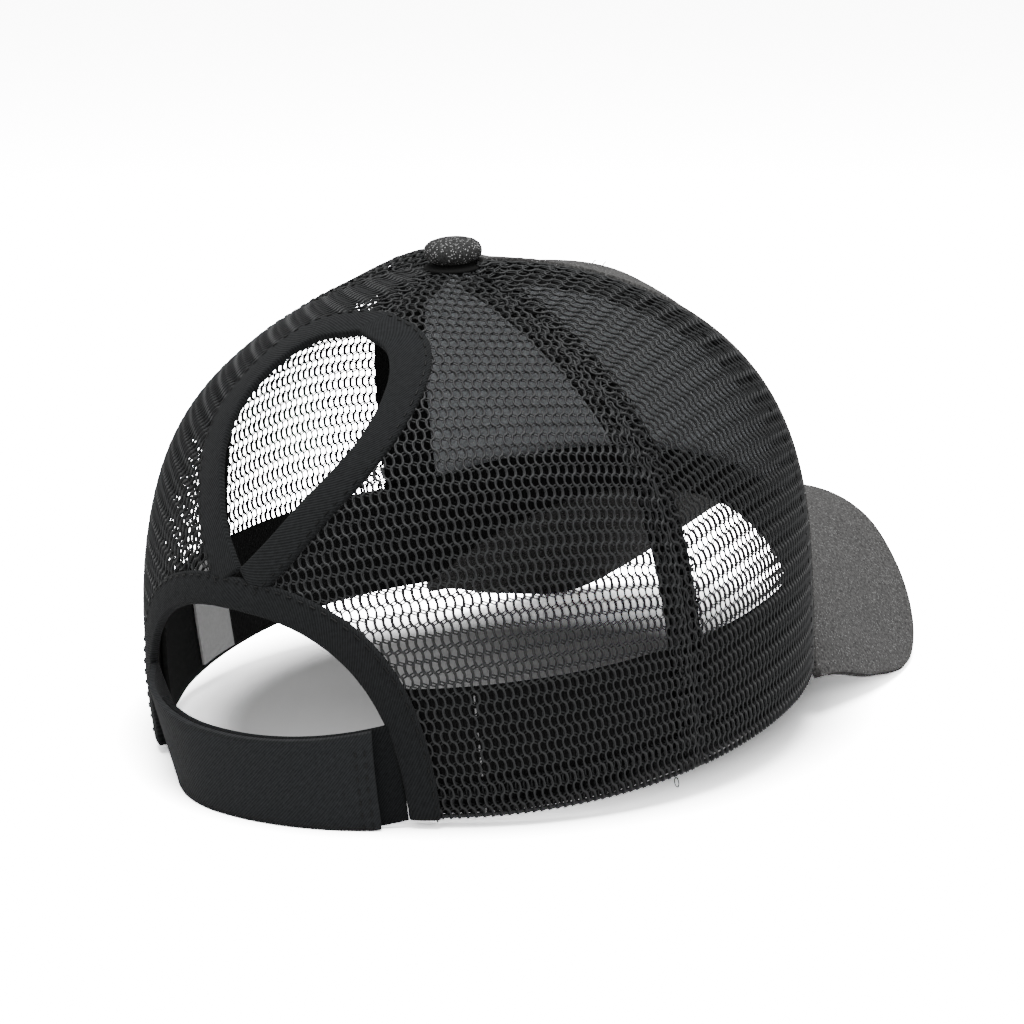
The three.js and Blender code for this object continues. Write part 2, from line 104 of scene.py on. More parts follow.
def soft_panel(name, place, aim, size, power):
    light = bpy.data.lights.new(name, "AREA")
    light.shape = "DISK"
    light.size = size
    light.energy = power
    panel = bpy.data.objects.new(name, light)
    panel.location = place
    panel.rotation_euler = (Vector(aim) - Vector(place)).to_track_quat("-Z", "Y").to_euler()
    bpy.context.collection.objects.link(panel)


soft_panel("overhead_panel", place=(-0.1, 0.2, 1.5), aim=(0, 0, 0.05), size=1.0, power=30)
soft_panel("side_panel", place=(-1.5, 0.5, 0.9), aim=(0, 0, 0.07), size=0.9, power=5)


def linked_object(name, mesh):
    made = bpy.data.objects.new(name, mesh)
    bpy.context.collection.objects.link(made)
    return made


floor_mesh = bmesh.new()
bmesh.ops.create_grid(floor_mesh, x_segments=2, y_segments=2, size=floor_size / 2)
floor_data = bpy.data.meshes.new("floor")
floor_mesh.to_mesh(floor_data)
floor_mesh.free()
floor = linked_object("floor", floor_data)
floor_paper = bpy.data.materials.new("floor_paper")
floor_paper.use_nodes = True
floor_tree = floor_paper.node_tree
floor_shader = floor_tree.nodes["Principled BSDF"]
floor_mix = brighter_when_seen(floor_tree, floor_shader.inputs["Base Color"], floor_white, floor_seen_far)
# Painted shade: the camera sees the floor darker inside an oval round the cap, fading out to plain white.
floor_where = floor_tree.nodes.new("ShaderNodeTexCoord")
floor_fit = floor_tree.nodes.new("ShaderNodeMapping")
floor_fit.vector_type = "TEXTURE"
floor_fit.inputs["Location"].default_value = (*painted_shade_middle, 0)
floor_fit.inputs["Scale"].default_value = (*painted_shade_reach, 1)
floor_away = floor_tree.nodes.new("ShaderNodeVectorMath")
floor_away.operation = "LENGTH"
floor_painted_shade = floor_tree.nodes.new("ShaderNodeMapRange")
floor_painted_shade.interpolation_type = "SMOOTHSTEP"
floor_painted_shade.inputs["From Min"].default_value = painted_shade_from
floor_painted_shade.inputs["From Max"].default_value = painted_shade_to
floor_painted_shade.inputs["To Min"].default_value = floor_seen_in_painted_shade
floor_painted_shade.inputs["To Max"].default_value = floor_seen_far
floor_tree.links.new(floor_where.outputs["Object"], floor_fit.inputs["Vector"])
floor_tree.links.new(floor_fit.outputs[0], floor_away.inputs[0])
floor_tree.links.new(floor_away.outputs["Value"], floor_painted_shade.inputs["Value"])
floor_tree.links.new(floor_painted_shade.outputs[0], floor_mix.inputs[7])
floor_shader.inputs["Roughness"].default_value = 1
floor_shader.inputs["Specular IOR Level"].default_value = 0
floor.data.materials.append(floor_paper)

# Front panel
# One stiff piece of grey glitter cloth makes the whole front of the crown. It is cut to a dome with
# a firm shoulder near the top, backed with a stiff lining and sewn to the net along both edges.

crown_half_length = 98.9
crown_half_width = 90.2
crown_height = 123.2
crown_top_setback = 7.7
crown_egg_share = -0.037
front_rim_rise = 30.3
front_seam_turn = 54.0
back_seam_turn = 104.0
top_hole_radius = 4.5
front_shoulder = {"rise": 57.0, "height": 3.5, "spread": 14.0, "width_share": 0.8, "lift_share": 0.5}
front_flat = {"rise": 50.0, "depth": 10.0, "spread": 52.0}
front_crease = 3.2
seam_swell = {"reach": 40.0, "depth": 2.4, "rise": 40.0, "spread": 36.0}
top_sag = {"rise": 65.0, "depth": 4.3, "spread": 35.0}
back_sag = {"turn": 125.0, "reach": 40.0, "share": 0.45}
hem_droop = {"turn": 130.0, "depth": 2.2, "spread": 55.0}
crown_profiles = {
    "front": {"squareness": 2.6, "swell": 0.103},
    "side": {"squareness": 2.52, "swell": 0.042},
    "back": {"squareness": 2.13, "swell": 0.026},
}
rest_tilt = 4.968
rest_place = Vector((0, 19.364, 11.367))
slope_step = 0.4
highest_rise = 90 - slope_step / 4
millimetre = 0.001
front_wall = 1.6
front_grid = (96, 72)
front_edge = 0.4
edge_segments = 2
edge_angle = 50
seam_gap = 0.3

tip_over = Matrix.Rotation(math.radians(-rest_tilt), 4, "X")


def set_down(point):
    """Takes a point of the upright cap, in millimetres, to its place on the cap at rest, in metres."""
    return (tip_over @ point + rest_place) * millimetre


def blend_profiles(turn, key):
    ahead = math.cos(math.radians(turn))
    front = max(ahead, 0) ** 2
    back = max(-ahead, 0) ** 2
    return (
        front * crown_profiles["front"][key]
        + back * crown_profiles["back"][key]
        + (1 - front - back) * crown_profiles["side"][key]
    )


def rim_radius(turn):
    across = math.sin(math.radians(turn)) / crown_half_width
    along = math.cos(math.radians(turn)) / crown_half_length
    return (1 + crown_egg_share * math.cos(math.radians(turn))) / math.hypot(across, along)


def turn_from_front(turn):
    return (turn + 180) % 360 - 180


def bell(share):
    return max(1 - share * share, 0) ** 2


def front_share(turn):
    return max(1 - (turn_from_front(turn) / front_seam_turn) ** 2, 0)


def front_fall(turn):
    """The front lies flat right up to its seams, where the net swells out beside it."""
    return 1 - (1 - front_share(turn)) ** front_crease


def by_front_seam(turn):
    """The seams of the stiff front hold the net up, so it swells a little beside them."""
    return bell((abs(turn_from_front(turn)) - front_seam_turn) / seam_swell["reach"])


def rim_height(turn):
    droop = bell((abs(turn_from_front(turn)) - hem_droop["turn"]) / hem_droop["spread"])
    return front_rim_rise * front_share(turn) - hem_droop["depth"] * droop


def shoulder(turn, rise):
    across = bell(turn_from_front(turn) / front_seam_turn / front_shoulder["width_share"])
    up = bell((rise - front_shoulder["rise"]) / front_shoulder["spread"])
    return front_shoulder["height"] * across * up


def wall_radius(turn, rise):
    """How far the crown stands out from its middle, at a turn from the front and a rise from the rim."""
    slope = math.radians(rise)
    swell = 1 + blend_profiles(turn, "swell") * math.sin(2 * slope)
    reach = max(math.cos(slope), 0) ** (2 / blend_profiles(turn, "squareness"))
    flat = front_flat["depth"] * front_fall(turn) * bell((rise - front_flat["rise"]) / front_flat["spread"])
    held = by_front_seam(turn) * bell((rise - seam_swell["rise"]) / seam_swell["spread"])
    return rim_radius(turn) * swell * reach + shoulder(turn, rise) - flat + seam_swell["depth"] * held


def crown_surface(turn, rise):
    climb = math.sin(math.radians(rise)) ** (2 / blend_profiles(turn, "squareness"))
    radius = wall_radius(turn, rise)
    height = rim_height(turn) + climb * (crown_height - rim_height(turn))
    slack = 1 - by_front_seam(turn)
    slack += back_sag["share"] * bell((abs(turn_from_front(turn)) - back_sag["turn"]) / back_sag["reach"])
    sag = top_sag["depth"] * bell((rise - top_sag["rise"]) / top_sag["spread"]) * slack
    return Vector((
        radius * math.sin(math.radians(turn)),
        climb * crown_top_setback - radius * math.cos(math.radians(turn)),
        height + front_shoulder["lift_share"] * shoulder(turn, rise) - sag,
    ))


def crown_normal(turn, rise):
    up = crown_surface(turn, min(rise + slope_step, highest_rise))
    up -= crown_surface(turn, max(rise - slope_step, 0))
    across = crown_surface(turn + slope_step, rise) - crown_surface(turn - slope_step, rise)
    return across.cross(up).normalized()


def crown_point(turn, rise, depth):
    """A point at a depth behind the crown's outer face."""
    rise = min(max(rise, 0), highest_rise)
    return crown_surface(turn, rise) - crown_normal(turn, rise) * depth


def climb_table(turn):
    """The rise at each half degree from the rim, and the length of wall up to it."""
    rises, lengths, last = [0.0], [0.0], crown_surface(turn, 0)
    for step in range(1, 2 * 90):
        point = crown_surface(turn, step / 2)
        rises.append(step / 2)
        lengths.append(lengths[-1] + (point - last).length)
        last = point
    return rises, lengths


def looked_up(value, keys, values):
    place = min(max(bisect_left(keys, value), 1), len(keys) - 1)
    share = (value - keys[place - 1]) / (keys[place] - keys[place - 1])
    return values[place - 1] + share * (values[place] - values[place - 1])


back_rises, back_lengths = climb_table(180)
crown_length = back_lengths[-1]


def rise_at_up(up):
    return looked_up(up, back_lengths, back_rises)


def rise_at_height(turn, height):
    share = max((height - rim_height(turn)) / (crown_height - rim_height(turn)), 0)
    return math.degrees(math.asin(min(share, 1) ** (blend_profiles(turn, "squareness") / 2)))


def cloth_sheet(name, columns, rows, place, size, wall, edge):
    """A sheet laid over place(x, y), with its cut size as UV, a wall inwards and rounded edges."""
    sheet = bmesh.new()
    bmesh.ops.create_grid(sheet, x_segments=columns, y_segments=rows, size=0.5)
    weave = sheet.loops.layers.uv.new("weave")
    for face in sheet.faces:
        face.smooth = True
        for loop in face.loops:
            x, y = loop.vert.co.x + 0.5, loop.vert.co.y + 0.5
            loop[weave].uv = (x * size[0], y * size[1])
    for vert in sheet.verts:
        vert.co = place(vert.co.x + 0.5, vert.co.y + 0.5)
    mesh = bpy.data.meshes.new(name)
    sheet.to_mesh(mesh)
    sheet.free()
    made = linked_object(name, mesh)
    solidify = made.modifiers.new("wall", "SOLIDIFY")
    solidify.thickness = wall * millimetre
    solidify.offset = -1
    bevel = made.modifiers.new("edge", "BEVEL")
    bevel.width = edge * millimetre
    bevel.segments = edge_segments
    bevel.limit_method = "ANGLE"
    bevel.angle_limit = math.radians(edge_angle)
    return made


def finish_group(name, numbers, colours):
    """A node group that gives a finish its colour, roughness and height at each place."""
    tree = bpy.data.node_groups.new(name, "ShaderNodeTree")
    tree.interface.new_socket("Vector", in_out="INPUT", socket_type="NodeSocketVector")
    for label in numbers:
        tree.interface.new_socket(label, in_out="INPUT", socket_type="NodeSocketFloat")
    for label in colours:
        tree.interface.new_socket(label, in_out="INPUT", socket_type="NodeSocketColor")
    tree.interface.new_socket("Color", in_out="OUTPUT", socket_type="NodeSocketColor")
    for label in ("Roughness", "Height"):
        tree.interface.new_socket(label, in_out="OUTPUT", socket_type="NodeSocketFloat")
    return tree, tree.nodes.new("NodeGroupInput").outputs, tree.nodes.new("NodeGroupOutput").inputs


def feed_sockets(tree, sockets, values):
    """Gives each socket its value, or links it to the socket that its value comes from."""
    for socket, value in zip(sockets, values):
        if isinstance(value, bpy.types.NodeSocket):
            tree.links.new(value, socket)
        else:
            socket.default_value = value


def math_node(tree, operation, *values, clamp=False):
    node = tree.nodes.new("ShaderNodeMath")
    node.operation = operation
    node.use_clamp = clamp
    feed_sockets(tree, node.inputs, values)
    return node.outputs[0]


def mix_node(tree, share, first, second):
    """A mix of two colours, which are sockets 6 and 7 of Blender's Mix node."""
    node = tree.nodes.new("ShaderNodeMix")
    node.data_type = "RGBA"
    feed_sockets(tree, (node.inputs[0], node.inputs[6], node.inputs[7]), (share, first, second))
    return node.outputs[2]


# Glitter cloth: grey yarns of uneven tone, with fine real glitter flecks between them whose bright colour
# is painted glint.
tone_contrast = 2.6
tone_floor = -0.8
fleck_radius = 0.42
fleck_shine = 0.45
cloth_roughness = 0.9
sheen_roughness = 0.6
glitter, glitter_in, glitter_out = finish_group(
    "glitter_cloth", ["Yarn Scale", "Fleck Scale", "Fleck Share"], ["Dark", "Light", "Glinting Fleck"]
)
yarn_noise = glitter.nodes.new("ShaderNodeTexNoise")
yarn_noise.inputs["Detail"].default_value = 3
yarn_noise.inputs["Roughness"].default_value = 0.7
glitter.links.new(glitter_in["Vector"], yarn_noise.inputs["Vector"])
glitter.links.new(glitter_in["Yarn Scale"], yarn_noise.inputs["Scale"])
fleck_cells = glitter.nodes.new("ShaderNodeTexVoronoi")
glitter.links.new(glitter_in["Vector"], fleck_cells.inputs["Vector"])
glitter.links.new(glitter_in["Fleck Scale"], fleck_cells.inputs["Scale"])
fleck_pick = glitter.nodes.new("ShaderNodeSeparateColor")
glitter.links.new(fleck_cells.outputs["Color"], fleck_pick.inputs[0])
yarn_tone = math_node(
    glitter, "MULTIPLY_ADD", yarn_noise.outputs[0], tone_contrast, tone_floor, clamp=True
)
picked = math_node(glitter, "LESS_THAN", fleck_pick.outputs[0], glitter_in["Fleck Share"])
near_middle = math_node(glitter, "LESS_THAN", fleck_cells.outputs["Distance"], fleck_radius)
# The flecks are real glitter threads; their bright colour is a painted glint.
fleck_glint_mask = math_node(glitter, "MULTIPLY", picked, near_middle)
ground = mix_node(glitter, yarn_tone, glitter_in["Dark"], glitter_in["Light"])
glitter.links.new(mix_node(glitter, fleck_glint_mask, ground, glitter_in["Glinting Fleck"]), glitter_out["Color"])
glitter_rough = math_node(glitter, "MULTIPLY_ADD", fleck_glint_mask, -fleck_shine, cloth_roughness)
glitter.links.new(glitter_rough, glitter_out["Roughness"])
glitter.links.new(math_node(glitter, "ADD", yarn_tone, fleck_glint_mask), glitter_out["Height"])


def finish_material(name, group, settings, bump_height, specular=0.3, coordinates="Object", sheen=0.0):
    """A Principled material whose colour, roughness and bump come from one finish group."""
    material = bpy.data.materials.new(name)
    material.use_nodes = True
    tree = material.node_tree
    shader = tree.nodes["Principled BSDF"]
    shader.inputs["Specular IOR Level"].default_value = specular
    shader.inputs["Sheen Weight"].default_value = sheen
    shader.inputs["Sheen Roughness"].default_value = sheen_roughness
    finish = tree.nodes.new("ShaderNodeGroup")
    finish.node_tree = group
    where = tree.nodes.new("ShaderNodeTexCoord")
    tree.links.new(where.outputs[coordinates], finish.inputs["Vector"])
    for label, value in settings.items():
        finish.inputs[label].default_value = value
    bump = tree.nodes.new("ShaderNodeBump")
    bump.inputs["Distance"].default_value = bump_height * millimetre
    tree.links.new(finish.outputs["Height"], bump.inputs["Height"])
    tree.links.new(finish.outputs["Color"], shader.inputs["Base Color"])
    tree.links.new(finish.outputs["Roughness"], shader.inputs["Roughness"])
    tree.links.new(bump.outputs["Normal"], shader.inputs["Normal"])
    return material


def grey(value, warmth=0.0):
    return (value * (1 + warmth), value, value * (1 - warmth), 1)


grey_glitter = finish_material("grey_glitter", glitter, {
    "Yarn Scale": 1250, "Fleck Scale": 1900, "Fleck Share": 0.12,
    "Dark": grey(0.012), "Light": grey(0.118, 0.02), "Glinting Fleck": grey(0.22),
}, bump_height=0.12)

# Lining: the same cloth's paler, plainer inner side, stiffened with a fused backing.
pale_lining = finish_material("pale_lining", glitter, {
    "Yarn Scale": 1300, "Fleck Scale": 1500, "Fleck Share": 0.04,
    "Dark": grey(0.3, -0.04), "Light": grey(0.56, -0.04), "Glinting Fleck": grey(0.64),
}, bump_height=0.08)


def front_place(x, y):
    rise = rise_at_up(y * (crown_length - top_hole_radius))
    margin = math.degrees(seam_gap / 2 / wall_radius(0, rise))
    reach = front_seam_turn - margin
    return set_down(crown_point((2 * x - 1) * reach, rise, 0))


front_size = (0.185, 0.145)
front_panel = cloth_sheet("front_cloth", *front_grid, front_place, front_size, front_wall, front_edge)
front_panel.data.materials.append(grey_glitter)
front_panel.data.materials.append(pale_lining)
front_panel.modifiers["wall"].material_offset = 1
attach(front_panel, "root")
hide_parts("front_panel")

# Visor
# A stiff board, curved down at both sides, covered above and below with the same glitter cloth.
# The two covers meet in a fine seam all round its outer edge.

visor_reach = 60.5
visor_half_width = 75.5
visor_squareness = 2.54
visor_widest_forward = 54.1
visor_wall = 3.0
visor_front_height = 14.8
visor_droop = 34.3
visor_tuck = 2.3
visor_edge_sections = [
    (0, 0), (0.167, 0.15), (0.333, 0.51), (0.5, 0.84), (0.667, 1), (0.867, 0.8), (1, 0.54),
]
visor_slope_step = 0.01
visor_grid = (96, 24)
visor_size = (0.19, 0.07)
visor_edge_round = 1.1
just_short = 1e-6


def spline_point(points, share):
    """A point on a smooth curve through points, at a share of the steps between them."""
    place = min(share, 1 - just_short) * (len(points) - 1)
    step = int(place)
    within = place - step
    last = len(points) - 1
    before, start = points[max(step - 1, 0)], points[step]
    end, after = points[min(step + 1, last)], points[min(step + 2, last)]
    result = []
    for a, b, c, d in zip(before, start, end, after):
        out, into = (c - a) / 2, (d - b) / 2
        cubic = (2 * b - 2 * c + out + into) * within ** 3
        square = (-3 * b + 3 * c - 2 * out - into) * within ** 2
        result.append(cubic + square + out * within + b)
    return Vector(result)


visor_rows = [(-around, below) for around, below in visor_edge_sections[:0:-1]] + visor_edge_sections
visor_sides = [around for around, below in visor_rows]
visor_shares = [step / (len(visor_rows) - 1) for step in range(len(visor_rows))]


def visor_edge_height(side):
    share = looked_up(side, visor_sides, visor_shares)
    return visor_front_height - visor_droop * spline_point(visor_rows, share).y


def visor_edge(side):
    swing = math.radians(side * 90)
    out = math.copysign(abs(math.sin(swing)) ** (2 / visor_squareness), side)
    ahead = max(math.cos(swing), 0) ** (2 / visor_squareness)
    reach = rim_radius(0) + visor_reach - visor_widest_forward
    y = -visor_widest_forward - ahead * reach
    return Vector((out * visor_half_width, y, visor_edge_height(side)))


def visor_root(side):
    turn = side * front_seam_turn
    top = rim_height(turn) + visor_wall - visor_tuck
    root = crown_point(turn, rise_at_height(turn, top), -seam_gap)
    root.z = top
    return root


def visor_top(side, out):
    return visor_root(side).lerp(visor_edge(side), out)


def visor_normal(side, out):
    across = visor_top(side + visor_slope_step / 2, out) - visor_top(side - visor_slope_step / 2, out)
    normal = (visor_edge(side) - visor_root(side)).cross(across).normalized()
    return normal if normal.z > 0 else -normal


def visor_point(side, out, depth):
    last_side = 1 - visor_slope_step / 2
    held = max(min(side, last_side), -last_side)
    through = Vector((0, 0, 1)).lerp(visor_normal(held, out), out).normalized()
    return visor_top(side, out) - through * depth


def visor_place(x, y):
    return set_down(visor_point(2 * x - 1, 1 - y, 0))


visor = cloth_sheet(
    "visor_cloth", *visor_grid, visor_place, visor_size, visor_wall, visor_edge_round
)
visor.data.materials.append(grey_glitter)
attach(visor, "root")
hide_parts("visor")

# Net panels
# Four panels of black knitted net. Upright face yarns zigzag side by side, and finer back yarns tie
# each to its neighbour in a knot on every row. At seams and rim the net is folded in and doubled.

arch_half_width = 48.4
arch_height = 50.4
arch_squareness = 2.36
arch_binding_width = 8.6
teardrop_bottom = 61.1
teardrop_height = 73.8
teardrop_half_width = 23.1
teardrop_binding_width = 9.8
teardrop_sections = [
    (0, 0), (0.33, 0.12), (0.62, 0.26), (0.88, 0.4), (1, 0.53), (0.97, 0.68), (0.8, 0.82),
    (0.5, 0.93), (0, 1),
]
net_pitch = 2.0
net_row = 3.15
net_swing = 0.3
net_lean = 0.14
net_reach = 92.0
net_depth = 0.4
net_fold = 6.0
net_hem = 7.0
fold_depth = 1.2
under_binding = 3.0
face_yarn = 0.28
tie_yarn = 0.19
knot_swell = 0.65
tie_height = 0.11
tie_lift = 0.3
tie_offset = 0.09
face_shares = (0.1, 0.35, 0.65, 0.9)
swing_hold = 2.2
yarn_thinnest = 0.7
shortest_yarn = 3
seam_dip = 0.55
seam_dip_reach = 1.4
hem_behind = 0.5
hole_margin = 1
teardrop_net_steps = 60
yarn_roughness = 0.35
yarn_unevenness = 0.3
outline_step = 1e-3


def arch_outline(margin, segments):
    points = []
    for step in range(segments + 1):
        swing = math.pi * step / segments
        across = math.copysign(abs(math.cos(swing)) ** (2 / arch_squareness), math.cos(swing))
        up = max(math.sin(swing), 0) ** (2 / arch_squareness)
        points.append((across * (arch_half_width + margin), up * (arch_height + margin)))
    return points


def teardrop_side(margin, segments):
    """Half of the teardrop's outline, from its point at the bottom to its top."""
    table = [
        (out * teardrop_half_width, teardrop_bottom + up * teardrop_height)
        for out, up in teardrop_sections
    ]
    points = []
    for step in range(segments + 1):
        share = step / segments
        point = spline_point(table, share)
        along = spline_point(table, min(share + outline_step, 1))
        along -= spline_point(table, max(share - outline_step, 0))
        along.normalize()
        points.append((point.x + along.y * margin, point.y - along.x * margin))
    return points


arch_net_margin = arch_binding_width - under_binding
teardrop_net_margin = teardrop_binding_width - under_binding
teardrop_net_side = sorted(
    (up, across) for across, up in teardrop_side(teardrop_net_margin, teardrop_net_steps)
)
teardrop_ups = [up for up, across in teardrop_net_side]
teardrop_acrosses = [across for up, across in teardrop_net_side]


def is_open(turn, rise):
    across = abs(math.radians(turn - 180) * wall_radius(180, rise))
    up = looked_up(rise, back_rises, back_lengths)
    along, over = across / (arch_half_width + arch_net_margin), up / (arch_height + arch_net_margin)
    if along < 1 and over < 1 and along ** arch_squareness + over ** arch_squareness < 1:
        return True
    if not teardrop_ups[0] < up < teardrop_ups[-1]:
        return False
    return across < looked_up(up, teardrop_ups, teardrop_acrosses)


def net_point(panel, across, up, lift):
    """A point of the net, or None where it is cut away, from its place on the flat net."""
    from_turn, to_turn, rises, lengths = panel
    climb = abs(up)
    if climb > lengths[-1]:
        return None
    polar = math.radians(90 - looked_up(climb, lengths, rises))
    aside = across / net_reach
    rise = 90 - math.degrees(math.acos(math.cos(polar) * math.cos(aside)))
    turn = (from_turn + to_turn) / 2 + math.degrees(math.atan2(math.tan(aside), math.sin(polar)))
    radius = wall_radius(turn, rise)
    beyond = math.radians(max(from_turn - turn, turn - to_turn)) * radius
    if beyond > net_fold or radius < top_hole_radius + hole_margin or is_open(turn, rise):
        return None
    depth = net_depth + lift + seam_dip * math.exp(-(beyond / seam_dip_reach) ** 2)
    if beyond > 0:
        turn = 2 * from_turn - turn if turn < from_turn else 2 * to_turn - turn
        depth = max(depth, fold_depth + lift)
    if up < 0:
        depth = max(depth, fold_depth + lift + hem_behind)
    return set_down(crown_point(turn, rise, depth))


def face_swing(row):
    """How far a face yarn stands to one side: held beside the holes, crossing over in each knot."""
    return net_swing * max(min(swing_hold * math.sin(math.pi * row), 1), -1)


def face_steps(row, column):
    return [(row + share, column, 0.0) for share in face_shares]


def tie_steps(offset):
    """Ties leave one face yarn for its neighbour in every knot, and come back in the next."""

    def steps(row, column):
        here = column + row % 2
        before = column + (row - 1) % 2
        return [(row + offset - tie_height, before, tie_lift), (row + offset + tie_height, here, tie_lift)]

    return steps


def net_strands(panel, steps_of):
    """All yarns of one kind in a panel, each broken where the net is cut away."""
    from_turn, to_turn, _, lengths = panel
    half = net_reach * math.radians(to_turn - from_turn) / 2 + net_fold + net_pitch
    slope = net_lean if from_turn >= 180 else -net_lean
    columns = math.ceil((half + lengths[-1] * net_lean) / net_pitch)
    rows = range(-math.ceil(net_hem / net_row), math.ceil(lengths[-1] / net_row) + 1)
    strands = []
    for column in range(-columns, columns + 1):
        strand = []
        for step, beside, lift in (found for row in rows for found in steps_of(row, column)):
            up = step * net_row
            point = net_point(panel, (beside + face_swing(step)) * net_pitch - slope * up, up, lift)
            if point is not None:
                strand.append((point, yarn_thinnest + knot_swell * math.cos(math.pi * step) ** 2))
            elif strand:
                strands.append(strand)
                strand = []
        strands.append(strand)
    return [strand for strand in strands if len(strand) >= shortest_yarn]


def yarn_mesh(name, strands, radius, rings):
    """Round yarns along lists of (point, share of the radius), rounder with more rings."""
    curve = bpy.data.curves.new(name, "CURVE")
    curve.dimensions = "3D"
    curve.bevel_depth = radius * millimetre
    curve.bevel_resolution = rings
    curve.use_fill_caps = True
    for strand in strands:
        spline = curve.splines.new("POLY")
        spline.points.add(len(strand) - 1)
        spline.points.foreach_set("co", [value for point, _ in strand for value in (*point, 1)])
        spline.points.foreach_set("radius", [thickness for _, thickness in strand])
    drawn = linked_object(name + "_drawn", curve)
    ready = drawn.evaluated_get(bpy.context.evaluated_depsgraph_get())
    mesh = bpy.data.meshes.new_from_object(ready)
    bpy.data.objects.remove(drawn)
    bpy.data.curves.remove(curve)
    return mesh


def joined_piece(name, meshes, material):
    """One smooth piece made of several meshes."""
    together = bmesh.new()
    for mesh in meshes:
        together.from_mesh(mesh)
        bpy.data.meshes.remove(mesh)
    for face in together.faces:
        face.smooth = True
    mesh = bpy.data.meshes.new(name)
    together.to_mesh(mesh)
    together.free()
    made = linked_object(name, mesh)
    made.data.materials.append(material)
    return made


# Yarn: slightly uneven black filament.
yarn, yarn_in, yarn_out = finish_group("filament_yarn", ["Twist Scale"], ["Dark", "Light"])
twist_noise = yarn.nodes.new("ShaderNodeTexNoise")
twist_noise.inputs["Detail"].default_value = 2
yarn.links.new(yarn_in["Vector"], twist_noise.inputs["Vector"])
yarn.links.new(yarn_in["Twist Scale"], twist_noise.inputs["Scale"])
yarn.links.new(
    mix_node(yarn, twist_noise.outputs[0], yarn_in["Dark"], yarn_in["Light"]), yarn_out["Color"]
)
yarn_rough = math_node(yarn, "MULTIPLY_ADD", twist_noise.outputs[0], yarn_unevenness, yarn_roughness)
yarn.links.new(yarn_rough, yarn_out["Roughness"])
yarn.links.new(twist_noise.outputs[0], yarn_out["Height"])

black_yarn = finish_material("black_yarn", yarn, {
    "Twist Scale": 2600, "Dark": grey(0.008, -0.04), "Light": grey(0.034, -0.04),
}, bump_height=0.08, specular=0.35)
sewing_thread = finish_material("sewing_thread", yarn, {
    "Twist Scale": 2600, "Dark": grey(0.003), "Light": grey(0.012),
}, bump_height=0.05, specular=0.2)

net_panels = {
    "side_mesh_left": (front_seam_turn, back_seam_turn),
    "side_mesh_right": (360 - back_seam_turn, 360 - front_seam_turn),
    "back_mesh_left": (back_seam_turn, 180),
    "back_mesh_right": (180, 360 - back_seam_turn),
}
for node, (from_turn, to_turn) in net_panels.items():
    panel = (from_turn, to_turn, *climb_table((from_turn + to_turn) / 2))
    net = joined_piece(
        node.replace("mesh", "net"),
        [
            yarn_mesh(node + "_face", net_strands(panel, face_steps), face_yarn, rings=1),
            yarn_mesh(node + "_high_ties", net_strands(panel, tie_steps(tie_offset)), tie_yarn, rings=0),
            yarn_mesh(node + "_low_ties", net_strands(panel, tie_steps(-tie_offset)), tie_yarn, rings=0),
        ],
        black_yarn,
    )
    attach(net, "root")
    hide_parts(node)

# Visor edge seam
# The visor's upper and lower glitter covers are sewn together round its outer edge and turned right
# side out over the board, so one fine closed seam runs along the middle of that edge.

visor_seam_radius = 0.45
visor_seam_steps = 200
visor_seam_span = 0.985
visor_seam_out = 0.998
# The seam is the visor's own glitter cloth, painted darker as shade along the edge.
visor_seam_shade_finish = finish_material("visor_seam", glitter, {
    "Yarn Scale": 1250, "Fleck Scale": 1900, "Fleck Share": 0.05,
    "Dark": grey(0.008), "Light": grey(0.05), "Glinting Fleck": grey(0.2),
}, bump_height=0.12)
visor_seam_line = []
for step in range(visor_seam_steps + 1):
    side = visor_seam_span * (2 * step / visor_seam_steps - 1)
    visor_seam_line.append((set_down(visor_point(side, visor_seam_out, visor_wall / 2)), 1.0))
visor_seam_mesh = yarn_mesh("visor_edge_seam", [visor_seam_line], visor_seam_radius, rings=2)
visor_seam = joined_piece("visor_edge_seam", [visor_seam_mesh], visor_seam_shade_finish)
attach(visor_seam, "root")

# Rim edge
# The net's doubled hem ends in a firm rolled edge all round the rim, from the arch to the visor. It
# is the net's own yarn, pulled tight and knotted by the seam that holds the sweatband.

rim_roll = 0.55
rim_roll_depth = 1.3
rim_roll_steps = 240
rim_knot_every = 3
rim_knot_swell = 0.25
arch_foot_gap = 1
arch_foot_turn = math.degrees((arch_half_width + arch_foot_gap) / wall_radius(180, 0))
rim_roll_turns = {
    "rim_roll_left": (front_seam_turn, 180 - arch_foot_turn),
    "rim_roll_right": (180 + arch_foot_turn, 360 - front_seam_turn),
}
for name, (from_turn, to_turn) in rim_roll_turns.items():
    rounds = []
    for step in range(rim_roll_steps + 1):
        turn = from_turn + (to_turn - from_turn) * step / rim_roll_steps
        point = crown_point(turn, 0, rim_roll_depth)
        point.z += rim_roll
        knot = rim_knot_swell if step % rim_knot_every == 0 else 0
        rounds.append((set_down(point), 1.0 + knot))
    roll = joined_piece(name, [yarn_mesh(name, [rounds], rim_roll, rings=2)], black_yarn)
    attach(roll, "root")

# Seam tapes
# Woven black tape covers the raw seam allowances inside the crown, held by a row of stitches along
# each of its edges that also shows on the net outside.

tape_width = 11.5
front_tape_extra = 5.5
tape_wall = 0.8
tape_depth = front_wall + 2 * seam_gap
tape_grid = (6, 60)
tape_edge = 0.2
tape_line_step = 0.6
tape_line_sides = (0.12, 0.88)
stitch_depth = 0.1
stitch_length = 2.4
stitch_gap = 0.9
stitch_yarn = 0.2

